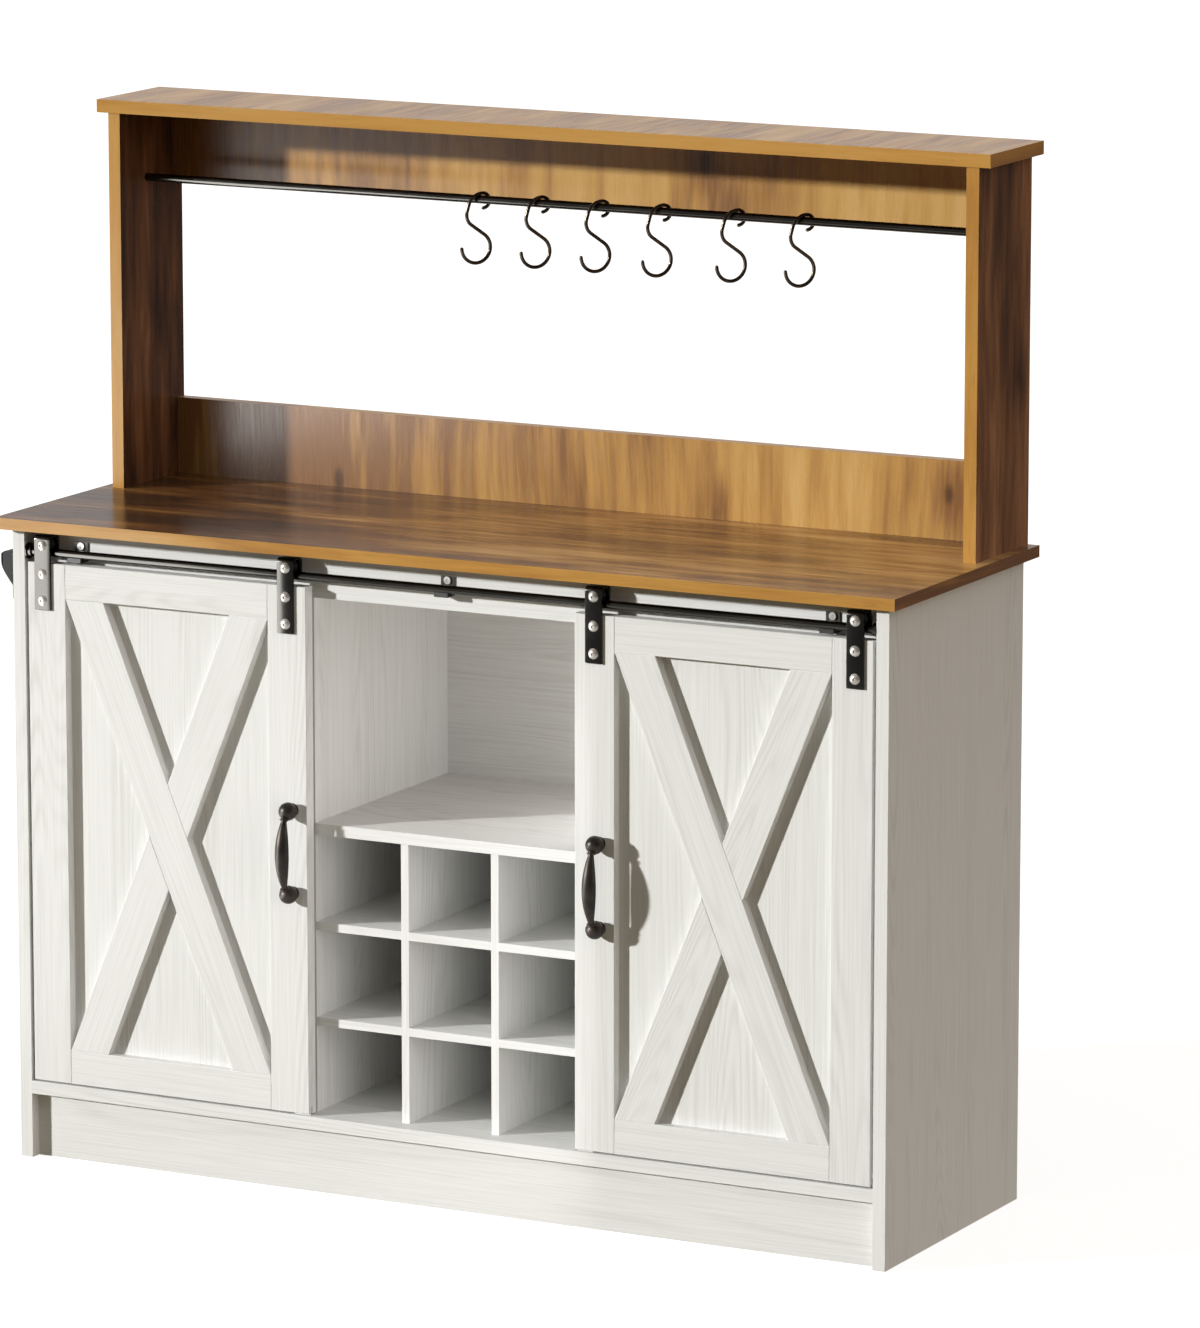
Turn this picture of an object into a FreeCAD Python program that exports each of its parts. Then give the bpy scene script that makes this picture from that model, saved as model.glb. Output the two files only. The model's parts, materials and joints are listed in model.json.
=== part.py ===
"""Bar cabinet with two hanging doors, a bottle rack and an open hutch over the worktop.

Millimetres. X runs to the right seen from the front, Y runs to the back, Z runs up.
The origin is on the floor, under the middle of the worktop.
"""
import FreeCAD, Part
import math
import os

# Overall size
overall_width = 1193.8
overall_depth = 400.05
overall_height = 1270.0

# Boards of the base cabinet
board_thickness = 16.0
worktop_thickness = 14.0
worktop_top_height = 792.0
worktop_side_overhang = 15.0
worktop_front_overhang = 18.0
worktop_rear_overhang = 12.0
toe_height = 80.0
toe_recess = 15.0
niche_width = 362.0
pocket_depth = 25.0
niche_shelf_thickness = 14.0
niche_shelf_bottom = 436.0
niche_shelf_proud = 2.5
track_board_height = 56.0
back_thickness = 5.0
back_inset = 10.0
groove_depth = 5.0
edge_ease = 0.6

# Bottle rack
rack_thickness = 10.0
rack_shelf_count = 2
rack_divider_count = 2

# Cupboard shelves and their pins
cupboard_shelf_height = 400.0
cupboard_shelf_setback = 50.0
cupboard_shelf_play = 1.0
shelf_pin_diameter = 5.0
shelf_pin_seat = 8.0
shelf_pin_reach = 8.0
shelf_pin_edge_distance = 37.0
pin_row_pitch = 32.0

# Hutch over the worktop
hutch_depth = 148.0
hutch_top_depth = 150.0
hutch_back_upper_height = 100.0
hutch_back_lower_height = 95.0
hanging_rod_diameter = 10.0
hanging_rod_from_back = 85.0
hanging_rod_above_panel_foot = 15.3
hanging_rod_seat = 8.0

# Doors
door_over_divider = 18.1
door_height = 640.0
door_setback = 1.0
door_side_gap = 4.0
door_floor_gap = 2.0
door_skin_thickness = 4.0
door_frame_thickness = 12.0
stile_width = 52.0
door_rail_width = 42.0
brace_end_width = 53.0
door_stop_gap = 2.0

# Guide fin under each door
guide_groove_width = 4.0
guide_groove_depth = 8.0
guide_fin_thickness = 3.0
guide_fin_length = 20.0
guide_fin_engagement = 6.0
guide_fin_seat = 8.0

# Track: round bar, end cups and brackets
track_bar_diameter = 10.0
track_bar_height = 750.0
cup_flange_diameter = 20.0
cup_flange_thickness = 2.5
cup_collar_diameter = 15.0
cup_collar_length = 4.5
cup_peg_diameter = 6.0
cup_peg_length = 10.0
bracket_from_side = 65.9
bracket_width = 18.0
bracket_thickness = 1.8
bracket_top = 763.0
bracket_arm_bottom = 740.5
saddle_depth = 7.0
saddle_grip = 1.0

# Hangers: folded straps with a grooved wheel on the track bar
strap_width = 22.0
strap_thickness = 3.0
strap_depth = 22.5
strap_bottom = 681.0
strap_top = 771.5
strap_back_bottom = 744.0
strap_bend_radius = 6.0
outer_hanger_inset = 22.0
inner_hanger_inset = 26.0
wheel_diameter = 16.0
wheel_width = 12.0
wheel_centre_height = 759.8
wheel_lift = 0.3
axle_diameter = 4.0
axle_play = 0.05
spacer_diameter = 8.0
spacer_play = 0.3
strap_bolt_heights = (725.0, 692.5)
bolt_head_diameter = 13.0
bolt_head_height = 3.4
bolt_socket_diameter = 4.0
bolt_socket_depth = 1.6

# Pan head screws of the brackets and the opener
screw_diameter = 4.0
screw_head_diameter = 9.0
screw_head_height = 1.8
screw_length = 12.0
screw_cross_width = 1.2
screw_cross_length = 5.0
screw_cross_depth = 0.9

# Door pulls
pull_from_stile_centre = 6.5
pull_knob_diameter = 22.0
pull_knob_spacing = 101.0
pull_knob_proud = 12.0
pull_foot_diameter = 16.0
pull_foot_thickness = 3.0
pull_grip_proud = 27.0
pull_neck_proud = 21.8
pull_neck_diameter = 7.4
pull_grip_diameter = 16.8
pull_grip_length = 77.0
pull_tail_length = 6.0
pull_ring_diameter = 11.0
pull_ring_width = 2.4
pull_grip_stations = 6
pull_screw_grip = 7.0

# S-hooks on the hanging rod
hook_places = (-101.0, -20.5, 60.0, 142.0, 240.0, 330.0)
hook_wire_diameter = 4.4
hook_turn_degrees = 52.0
hook_rod_clearance = 0.3
hook_top_offset = 2.0
hook_curl_radius = 9.0
hook_curl_degrees = 176.0
hook_shoulder_radius = 19.0
hook_shoulder_degrees = 74.0
hook_flank_length = 8.0
hook_elbow_radius = 15.0
hook_elbow_degrees = 70.0
hook_diagonal_length = 21.0
hook_loop_radius = 18.7
hook_loop_degrees = 231.0

# Bottle opener on the left side panel
opener_from_front = 27.0
opener_plate_width = 44.0
opener_plate_height = 56.0
opener_plate_thickness = 4.0
opener_plate_corner = 9.0
opener_top = 748.0
opener_reach = 23.0
opener_brow_height = 7.0
opener_brow_share = 0.55
opener_belly_share = 1 / 3
opener_hood_drop = 39.0
opener_corner = 7.0
opener_mouth_width = 34.0
opener_roof = 10.0
opener_tooth_width = 16.0
opener_tooth_reach = 5.0
opener_tooth_height = 6.0
opener_tooth_drop = 22.0
opener_screw_spacing = 24.0
opener_screw_above_foot = 8.0

# Room that a cut runs past the face it leaves
overrun = 2.0

# Levels and planes that follow from the sizes above
body_half_width = overall_width / 2 - worktop_side_overhang
inner_half_width = body_half_width - board_thickness
worktop_front = -overall_depth / 2
worktop_back = overall_depth / 2
body_front = worktop_front + worktop_front_overhang
body_back = worktop_back - worktop_rear_overhang
body_top = worktop_top_height - worktop_thickness
floor_top = toe_height + board_thickness
pocket_back = body_front + pocket_depth
back_rear_face = body_back - back_inset
back_front_face = back_rear_face - back_thickness
niche_half_width = niche_width / 2
divider_outer = niche_half_width + board_thickness
niche_shelf_top = niche_shelf_bottom + niche_shelf_thickness
hutch_top_bottom = overall_height - board_thickness
hutch_front = worktop_back - hutch_depth
hutch_back_face = worktop_back - board_thickness
rod_y = worktop_back - hanging_rod_from_back
rod_z = hutch_top_bottom - hutch_back_upper_height + hanging_rod_above_panel_foot
door_front = body_front + door_setback
door_frame_back = door_front + door_frame_thickness
door_back = door_frame_back + door_skin_thickness
door_bottom = floor_top + door_floor_gap
door_top = door_bottom + door_height
door_outer_x = inner_half_width - door_side_gap
door_inner_x = divider_outer - door_over_divider
door_travel = 2 * door_inner_x - door_stop_gap
strap_front = door_front - strap_thickness
strap_back = strap_front + strap_depth
strap_back_inner = strap_back - strap_thickness
track_y = (door_front + strap_back_inner) / 2
cupboard_shelf_bottom = cupboard_shelf_height - board_thickness
bracket_x = inner_half_width - bracket_from_side

pieces = {}


def vector(x, y, z):
    """Return a point or a direction."""
    return FreeCAD.Vector(x, y, z)


def block(xs, ys, zs):
    """Return a board between three pairs of faces, given in any order."""
    low = [min(pair) for pair in (xs, ys, zs)]
    size = [abs(pair[1] - pair[0]) for pair in (xs, ys, zs)]
    return Part.makeBox(*size, vector(*low))


def round_bar(diameter, start, direction, length):
    """Return a round bar from a start point along a direction."""
    return Part.makeCylinder(diameter / 2, length, start, direction)


def prism(points, direction):
    """Return the solid swept by a closed outline of points along a direction."""
    outline = Part.makePolygon(points + points[:1])
    return Part.Face(outline).extrude(direction)


def group(solids):
    """Return separate solids as one shape."""
    return Part.makeCompound(solids)


def along(x=0, y=0, z=0):
    """Return an axis direction."""
    return vector(x, y, z)


def ease_front(shape):
    """Break the front edges of a door board, which shows its joints as fine lines."""
    front = []
    for edge in shape.Edges:
        if all(abs(v.Y - door_front) < edge_ease / 2 for v in edge.Vertexes):
            front.append(edge)
    return shape.makeChamfer(edge_ease, front)


def cut_from(name, tool):
    """Cut a hole or a groove in a piece that is already made."""
    pieces[name] = pieces[name].cut(tool)


# Carcass
def side_panel(side):
    """Side panel of the base, with the groove that holds the back panel."""
    inner = side * inner_half_width
    outer = side * body_half_width
    panel = block((inner, outer), (body_front, body_back), (0, body_top))
    groove_floor = side * (inner_half_width + groove_depth)
    rear = (back_front_face, back_rear_face)
    inside = side * (inner_half_width - overrun)
    return panel.cut(block((inside, groove_floor), rear, (floor_top - groove_depth, body_top + overrun)))


def bottom_panel():
    """Floor of the base, which runs to the front under the doors."""
    across = (-inner_half_width, inner_half_width)
    panel = block(across, (body_front, body_back), (toe_height, floor_top))
    rear = (back_front_face, back_rear_face)
    return panel.cut(block(across, rear, (floor_top - groove_depth, floor_top + overrun)))


def divider(side):
    """Upright between the niche and a cupboard, notched for the track board."""
    inner = side * niche_half_width
    outer = side * divider_outer
    panel = block((inner, outer), (pocket_back, body_back), (floor_top, body_top))
    notch_back = pocket_back + board_thickness
    notch = block((inner - side * overrun, outer + side * overrun),
                  (pocket_back - overrun, notch_back),
                  (body_top - track_board_height, body_top + overrun))
    rear = (back_front_face, back_rear_face)
    height = (floor_top - overrun, body_top + overrun)
    inner_groove = block((inner - side * overrun, inner + side * groove_depth), rear, height)
    outer_groove = block((outer - side * groove_depth, outer + side * overrun), rear, height)
    return panel.cut(notch).cut(inner_groove).cut(outer_groove)


def back_panel(left, right):
    """Thin back panel seated in the grooves round it."""
    rear = (back_front_face, back_rear_face)
    return block((left, right), rear, (floor_top - groove_depth, body_top))


def make_carcass():
    """Make the boards of the base cabinet."""
    across = (-inner_half_width, inner_half_width)
    groove_outer = inner_half_width + groove_depth
    groove_divider = divider_outer - groove_depth
    groove_niche = niche_half_width + groove_depth
    pieces["side_panel_left"] = side_panel(-1)
    pieces["side_panel_right"] = side_panel(1)
    pieces["bottom_panel"] = bottom_panel()
    toe_front = body_front + toe_recess
    toe_back = toe_front + board_thickness
    pieces["toe_kick"] = block(across, (toe_front, toe_back), (0, toe_height))
    support = (-board_thickness / 2, board_thickness / 2)
    pieces["centre_support"] = block(support, (toe_back, body_back), (0, toe_height))
    pieces["divider_left"] = divider(-1)
    pieces["divider_right"] = divider(1)
    pieces["back_panel_left"] = back_panel(-groove_outer, -groove_divider)
    pieces["back_panel_centre"] = back_panel(-groove_niche, groove_niche)
    pieces["back_panel_right"] = back_panel(groove_divider, groove_outer)
    pieces["track_board"] = block(across, (pocket_back, pocket_back + board_thickness),
                                  (body_top - track_board_height, body_top))
    niche = (-niche_half_width, niche_half_width)
    pieces["niche_shelf"] = block(niche, (pocket_back - niche_shelf_proud, back_front_face),
                                  (niche_shelf_bottom, niche_shelf_top))
    pieces["worktop"] = block((-overall_width / 2, overall_width / 2), (worktop_front, worktop_back),
                              (body_top, worktop_top_height))


# Bottle rack
def rack_shelf_levels():
    """Return the underside of each rack shelf, evenly spaced under the niche shelf."""
    free = niche_shelf_bottom - floor_top - rack_shelf_count * rack_thickness
    pitch = free / (rack_shelf_count + 1) + rack_thickness
    return [floor_top + pitch * (i + 1) - rack_thickness for i in range(rack_shelf_count)]


def rack_divider_centres():
    """Return the middle of each upright rack board, at even shares of the niche."""
    pitch = niche_width / (rack_divider_count + 1)
    return [-niche_half_width + pitch * (i + 1) for i in range(rack_divider_count)]


def make_rack():
    """Make the rack boards, halved into each other like an egg crate."""
    depth = (pocket_back, back_front_face)
    middle = (pocket_back + back_front_face) / 2
    half = rack_thickness / 2
    shelves = []
    for level in rack_shelf_levels():
        shelf = block((-niche_half_width, niche_half_width), depth, (level, level + rack_thickness))
        for centre in rack_divider_centres():
            slot = block((centre - half, centre + half), (pocket_back - overrun, middle),
                         (level - overrun, level + rack_thickness + overrun))
            shelf = shelf.cut(slot)
        shelves.append(shelf)
    uprights = []
    for centre in rack_divider_centres():
        upright = block((centre - half, centre + half), depth, (floor_top, niche_shelf_bottom))
        for level in rack_shelf_levels():
            slot = block((centre - half - overrun, centre + half + overrun),
                         (middle, back_front_face + overrun), (level, level + rack_thickness))
            upright = upright.cut(slot)
        uprights.append(upright)
    pieces["rack_shelf_lower"], pieces["rack_shelf_upper"] = shelves
    pieces["rack_divider_left"], pieces["rack_divider_right"] = uprights


# Cupboard shelves
def make_cupboard_shelves():
    """Make the loose shelf of each cupboard and the pins that it rests on."""
    front = body_front + cupboard_shelf_setback
    rows = (front + shelf_pin_edge_distance, back_front_face - shelf_pin_edge_distance)
    pin_z = cupboard_shelf_bottom - shelf_pin_diameter / 2
    pins = []
    for side, name in ((-1, "left"), (1, "right")):
        near = divider_outer + cupboard_shelf_play
        far = inner_half_width - cupboard_shelf_play
        pieces["cupboard_shelf_" + name] = block((side * near, side * far), (front, back_front_face),
                                                 (cupboard_shelf_bottom, cupboard_shelf_height))
        walls = (("divider_" + name, divider_outer, 1), ("side_panel_" + name, inner_half_width, -1))
        for panel, face, inward in walls:
            for row in rows:
                pin_start = vector(side * (face - inward * shelf_pin_seat), row, pin_z)
                reach = along(x=side * inward)
                pin_length = shelf_pin_seat + shelf_pin_reach
                pins.append(round_bar(shelf_pin_diameter, pin_start, reach, pin_length))
                for step in (-1, 0, 1):
                    hole_start = pin_start + along(z=step * pin_row_pitch)
                    hole = round_bar(shelf_pin_diameter, hole_start, reach, shelf_pin_seat + overrun)
                    cut_from(panel, hole)
    pieces["shelf_pins"] = group(pins)


# Hutch
def make_hutch():
    """Make the open hutch: two uprights, a top shelf, two back rails and the hanging rod."""
    height = (worktop_top_height, hutch_top_bottom)
    depth = (hutch_front, worktop_back)
    for side, name in ((-1, "left"), (1, "right")):
        upright = block((side * inner_half_width, side * body_half_width), depth, height)
        seat_start = vector(side * (inner_half_width - overrun), rod_y, rod_z)
        seat = round_bar(hanging_rod_diameter, seat_start, along(x=side), hanging_rod_seat + overrun)
        pieces["hutch_side_" + name] = upright.cut(seat)
    across = (-inner_half_width, inner_half_width)
    rear = (hutch_back_face, worktop_back)
    upper = (hutch_top_bottom - hutch_back_upper_height, hutch_top_bottom)
    lower = (worktop_top_height, worktop_top_height + hutch_back_lower_height)
    pieces["hutch_back_upper"] = block(across, rear, upper)
    pieces["hutch_back_lower"] = block(across, rear, lower)
    pieces["hutch_top"] = block((-overall_width / 2, overall_width / 2),
                                (worktop_back - hutch_top_depth, worktop_back),
                                (hutch_top_bottom, overall_height))
    rod_end = inner_half_width + hanging_rod_seat
    rod_start = vector(-rod_end, rod_y, rod_z)
    pieces["hanging_rod"] = round_bar(hanging_rod_diameter, rod_start, along(x=1), 2 * rod_end)


# S-hooks
def turned(point, centre, degrees):
    """Turn a point in the hook's plane about a centre."""
    angle = math.radians(degrees)
    u = point[0] - centre[0]
    v = point[1] - centre[1]
    return (centre[0] + u * math.cos(angle) - v * math.sin(angle),
            centre[1] + u * math.sin(angle) + v * math.cos(angle))


def wire_path(start, heading, steps):
    """Return edges in the hook's plane, each arc or run starting along the end of the last."""
    edges = []
    point = start
    for radius, amount in steps:
        direction = (math.cos(math.radians(heading)), math.sin(math.radians(heading)))
        if radius == 0:
            end = (point[0] + direction[0] * amount, point[1] + direction[1] * amount)
            edges.append(Part.LineSegment(vector(*point, 0), vector(*end, 0)).toShape())
        else:
            sign = math.copysign(1, amount)
            centre = (point[0] - sign * direction[1] * radius, point[1] + sign * direction[0] * radius)
            middle = turned(point, centre, amount / 2)
            end = turned(point, centre, amount)
            edges.append(Part.Arc(vector(*point, 0), vector(*middle, 0), vector(*end, 0)).toShape())
            heading += amount
        point = end
    return edges


def hook_solid():
    """Sweep the wire along the curl over the rod, the flank, the diagonal and the lower loop."""
    top = (hook_top_offset, hanging_rod_diameter / 2 + hook_wire_diameter / 2 + hook_rod_clearance)
    curl = wire_path(top, 0, [(hook_curl_radius, -hook_curl_degrees)])
    body = wire_path(top, 180, [(hook_shoulder_radius, hook_shoulder_degrees), (0, hook_flank_length),
                                (hook_elbow_radius, hook_elbow_degrees), (0, hook_diagonal_length),
                                (hook_loop_radius, -hook_loop_degrees)])
    path = Part.Wire(Part.sortEdges(curl + body)[0])
    tip = path.OrderedVertexes[0].Point
    start_direction = path.OrderedEdges[0].tangentAt(path.OrderedEdges[0].FirstParameter)
    section = Part.Wire(Part.makeCircle(hook_wire_diameter / 2, tip, start_direction))
    return path.makePipeShell([section], True, False)


def make_hooks():
    """Hang the hooks on the rod, each turned a little about its upright axis."""
    for number, place in enumerate(hook_places, start=1):
        hook = hook_solid()
        hook.rotate(vector(0, 0, 0), along(x=1), 90)
        hook.rotate(vector(0, 0, 0), along(z=1), hook_turn_degrees)
        hook.translate(vector(place, rod_y, rod_z))
        pieces["s_hook_" + str(number)] = hook


# Doors
def door_brace(left, right, low, high, rising):
    """Return a diagonal board that fills one pair of corners of the door's opening."""
    upper, lower = (right, left) if rising else (left, right)
    inward = math.copysign(brace_end_width, lower - upper)
    corners = [(upper, high), (upper + inward, high), (lower, low), (lower - inward, low)]
    return prism([vector(x, door_front, z) for x, z in corners], along(y=door_frame_thickness))


def make_door(side, name):
    """Make one door: skin, frame boards and the crossed braces."""
    left, right = sorted((side * door_inner_x, side * door_outer_x))
    frame_depth = (door_front, door_frame_back)
    height = (door_bottom, door_top)
    opening_left = left + stile_width
    opening_right = right - stile_width
    opening_low = door_bottom + door_rail_width
    opening_high = door_top - door_rail_width
    groove_middle = door_front + door_frame_thickness / 2
    groove = block((left - overrun, right + overrun),
                   (groove_middle - guide_groove_width / 2, groove_middle + guide_groove_width / 2),
                   (door_bottom - overrun, door_bottom + guide_groove_depth))
    stiles = [ease_front(block(xs, frame_depth, height)).cut(groove)
              for xs in ((left, opening_left), (opening_right, right))]
    top_rail = block((opening_left, opening_right), frame_depth, (opening_high, door_top))
    bottom_rail = block((opening_left, opening_right), frame_depth, (door_bottom, opening_low))
    rails = [ease_front(top_rail), ease_front(bottom_rail).cut(groove)]
    long_brace = door_brace(opening_left, opening_right, opening_low, opening_high, False)
    crossing = door_brace(opening_left, opening_right, opening_low, opening_high, True)
    halves = [ease_front(half) for half in crossing.cut(long_brace).Solids]
    pieces[name + "_door_skin"] = block((left, right), (door_frame_back, door_back), height)
    pieces[name + "_door_stiles"] = group(stiles)
    pieces[name + "_door_rails"] = group(rails)
    pieces[name + "_door_long_brace"] = ease_front(long_brace)
    pieces[name + "_door_short_braces"] = group(halves)


# Door pulls
def pull_centreline(height, reach):
    """Return how far the grip's centre stands off the door at a height from its middle."""
    rise = pull_grip_proud - pull_neck_proud
    radius = (reach ** 2 + rise ** 2) / (2 * rise)
    return pull_grip_proud - radius + math.sqrt(radius ** 2 - height ** 2)


def pull_section(height, reach):
    """Return the grip's round section at a height from its middle."""
    swell = max(0, 1 - (height / reach) ** 2)
    radius = pull_neck_diameter / 2 + (pull_grip_diameter - pull_neck_diameter) / 2 * swell
    rise = pull_grip_proud - pull_neck_proud
    bend = (reach ** 2 + rise ** 2) / (2 * rise)
    lean = height / bend
    centre = vector(0, -pull_centreline(height, reach), height)
    tangent = vector(0, math.sin(lean), math.cos(lean))
    return Part.Wire(Part.makeCircle(radius, centre, tangent))


def pull_solid():
    """Cast pull: two ball ends on round feet, joined by a bowed grip that swells in the middle."""
    reach = pull_grip_length / 2
    tail = reach + pull_tail_length
    swelling = [reach * (2 * i / pull_grip_stations - 1) for i in range(pull_grip_stations + 1)]
    heights = [-tail] + swelling + [tail]
    solid = Part.makeLoft([pull_section(h, reach) for h in heights], True, False)
    ring_height = reach + pull_ring_width
    for end in (-1, 1):
        knob_z = end * pull_knob_spacing / 2
        ball = Part.makeSphere(pull_knob_diameter / 2, vector(0, -pull_knob_proud, knob_z))
        foot = round_bar(pull_foot_diameter, vector(0, 0, knob_z), along(y=-1), pull_foot_thickness)
        neck = round_bar(pull_neck_diameter, vector(0, 0, knob_z), along(y=-1), pull_knob_proud)
        lean = end * ring_height / reach * (pull_grip_proud - pull_neck_proud) / reach
        ring_start = vector(0, -pull_centreline(ring_height, reach), end * ring_height)
        ring = round_bar(pull_ring_diameter, ring_start, vector(0, 2 * lean, end), pull_ring_width)
        solid = solid.fuse([ball, foot, neck, ring])
    return solid.removeSplitter()


# Hangers
def long_edges(shape, level):
    """Return the straight edges at a level that run along the strap's whole width."""
    found = []
    for edge in shape.Edges:
        ends = [v.Point for v in edge.Vertexes]
        at_level = all(abs(p.z - level) < edge_ease for p in ends)
        if len(ends) == 2 and at_level and abs(ends[0].x - ends[1].x) > strap_width / 2:
            found.append(edge)
    return found


def strap_solid(x):
    """Steel strap folded over the wheel, with the front leg on the door and a short back leg."""
    half = strap_width / 2
    width = along(x=strap_width)
    inner_top = strap_top - strap_thickness
    side_view = [(strap_front, strap_bottom), (strap_front, strap_top), (strap_back, strap_top),
                 (strap_back, strap_back_bottom), (strap_back_inner, strap_back_bottom),
                 (strap_back_inner, inner_top), (door_front, inner_top), (door_front, strap_bottom)]
    folded = prism([vector(x - half, y, z) for y, z in side_view], width)
    rounded = folded.makeFillet(strap_bend_radius - strap_thickness, long_edges(folded, inner_top))
    return rounded.makeFillet(strap_bend_radius, long_edges(rounded, strap_top))


def domed_bolt(x, z, length):
    """Domed bolt with a small round socket, driven from the front through a strap."""
    head_radius = bolt_head_diameter / 2
    crown_radius = (head_radius ** 2 + bolt_head_height ** 2) / (2 * bolt_head_height)
    crown_centre = vector(x, strap_front - bolt_head_height + crown_radius, z)
    crown = Part.makeSphere(crown_radius, crown_centre)
    head_box = block((x - head_radius, x + head_radius), (strap_front - bolt_head_height, strap_front),
                     (z - head_radius, z + head_radius))
    head = crown.common(head_box)
    socket_start = vector(x, strap_front - bolt_head_height - overrun, z)
    socket = round_bar(bolt_socket_diameter, socket_start, along(y=1), bolt_socket_depth + overrun)
    shank = round_bar(axle_diameter, vector(x, strap_front, z), along(y=1), length)
    return head.cut(socket).fuse(shank).removeSplitter()


def wheel_solid(x):
    """Grooved wheel that runs on the track bar."""
    start = vector(x, track_y - wheel_width / 2, wheel_centre_height)
    wheel = round_bar(wheel_diameter, start, along(y=1), wheel_width)
    track_offset = wheel_centre_height - track_bar_height
    groove = Part.makeTorus(track_offset, track_bar_diameter / 2 + wheel_lift,
                            vector(x, track_y, wheel_centre_height), along(y=1))
    bore_start = start - along(y=overrun)
    bore = round_bar(axle_diameter + 2 * axle_play, bore_start, along(y=1), wheel_width + 2 * overrun)
    return wheel.cut(groove).cut(bore)


def axle_spacers(x):
    """Return the two sleeves that keep the wheel in the middle of its fork."""
    sleeves = []
    front_end = track_y - wheel_width / 2 - spacer_play
    back_end = track_y + wheel_width / 2 + spacer_play
    for start, end in ((door_front, front_end), (back_end, strap_back_inner)):
        length = end - start
        sleeve = round_bar(spacer_diameter, vector(x, start, wheel_centre_height), along(y=1), length)
        bore_start = vector(x, start - overrun, wheel_centre_height)
        bore = round_bar(axle_diameter, bore_start, along(y=1), length + 2 * overrun)
        sleeves.append(sleeve.cut(bore))
    return sleeves


def drill_boards(name, hole):
    """Drill a hole through every board of a grouped door node that it meets."""
    pieces[name] = group([board.cut(hole) for board in pieces[name].Solids])


def make_door_hardware(side, name):
    """Hang one door: straps, wheels, bolts, the pull and its screws."""
    straps = []
    fasteners = []
    bolt_grip = strap_thickness + door_frame_thickness
    places = (("outer", side * (door_outer_x - outer_hanger_inset)),
              ("inner", side * (door_inner_x + inner_hanger_inset)))
    for place, x in places:
        strap = strap_solid(x)
        hole_start = vector(x, strap_front - overrun, wheel_centre_height)
        strap = strap.cut(round_bar(axle_diameter, hole_start, along(y=1), strap_depth + 2 * overrun))
        fasteners.append(domed_bolt(x, wheel_centre_height, strap_depth))
        fasteners.extend(axle_spacers(x))
        for height in strap_bolt_heights:
            hole_start = vector(x, strap_front - overrun, height)
            hole = round_bar(axle_diameter, hole_start, along(y=1), bolt_grip + overrun)
            strap = strap.cut(hole)
            drill_boards(name + "_door_stiles", hole)
            fasteners.append(domed_bolt(x, height, bolt_grip))
        straps.append(strap)
        pieces[name + "_" + place + "_wheel"] = wheel_solid(x)
    pull_x = side * (door_inner_x + stile_width / 2) + pull_from_stile_centre
    pull_z = (door_bottom + door_top) / 2
    pull = pull_solid()
    pull.translate(vector(pull_x, door_front, pull_z))
    for end in (-1, 1):
        knob_z = pull_z + end * pull_knob_spacing / 2
        length = door_back - door_front + pull_screw_grip
        screw_seat = vector(pull_x, door_back, knob_z)
        shank = round_bar(screw_diameter, screw_seat, along(y=-1), length)
        drill_boards(name + "_door_stiles", shank)
        cut_from(name + "_door_skin", shank)
        pull = pull.cut(shank)
        head = round_bar(screw_head_diameter, screw_seat, along(y=1), screw_head_height)
        fasteners.append(shank.fuse(head))
    pieces[name + "_door_pull"] = pull
    pieces[name + "_door_hangers"] = group(straps)
    pieces[name + "_door_fasteners"] = group(fasteners)


# Track
def pan_head_screw(seat, outward):
    """Pan head screw with a cross slot, seated on a face, pointing outward."""
    shank = round_bar(screw_diameter, seat - outward * screw_length, outward, screw_length)
    head = round_bar(screw_head_diameter, seat, outward, screw_head_height)
    slot_floor = seat + outward * (screw_head_height - screw_cross_depth)
    across = vector(outward.y, outward.x, 0)
    for run, side in ((across, along(z=1)), (along(z=1), across)):
        corner = slot_floor - run * (screw_cross_length / 2) - side * (screw_cross_width / 2)
        along_slot = run * screw_cross_length
        over_slot = side * screw_cross_width
        outline = [corner, corner + along_slot, corner + along_slot + over_slot, corner + over_slot]
        head = head.cut(prism(outline, outward * (screw_cross_depth + overrun)))
    return head.fuse(shank)


def bracket_solid(x):
    """Bracket on the track board, whose arm reaches under the bar and ends in a saddle."""
    half = bracket_width / 2
    across = (x - half, x + half)
    plate = block(across, (pocket_back - bracket_thickness, pocket_back), (bracket_arm_bottom, bracket_top))
    arm_top = bracket_arm_bottom + bracket_thickness
    arm_front = track_y - saddle_depth / 2
    arm = block(across, (arm_front, pocket_back), (bracket_arm_bottom, arm_top))
    bar_bottom = track_bar_height - track_bar_diameter / 2
    saddle = block(across, (arm_front, arm_front + saddle_depth), (arm_top, bar_bottom + saddle_grip))
    bar_start = vector(x - bracket_width, track_y, track_bar_height)
    bar = round_bar(track_bar_diameter, bar_start, along(x=1), 2 * bracket_width)
    return plate.fuse([arm, saddle]).removeSplitter().cut(bar)


def cup_solid(side):
    """End cup of the track bar: flange, collar and a peg let into the side panel."""
    face = vector(side * inner_half_width, track_y, track_bar_height)
    inward = along(x=-side)
    flange = round_bar(cup_flange_diameter, face, inward, cup_flange_thickness)
    collar = round_bar(cup_collar_diameter, face, inward, cup_flange_thickness + cup_collar_length)
    peg = round_bar(cup_peg_diameter, face, -inward, cup_peg_length)
    mouth_start = face + inward * cup_flange_thickness
    mouth = round_bar(track_bar_diameter, mouth_start, inward, cup_collar_length + overrun)
    return flange.fuse([collar, peg]).removeSplitter().cut(mouth)


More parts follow.
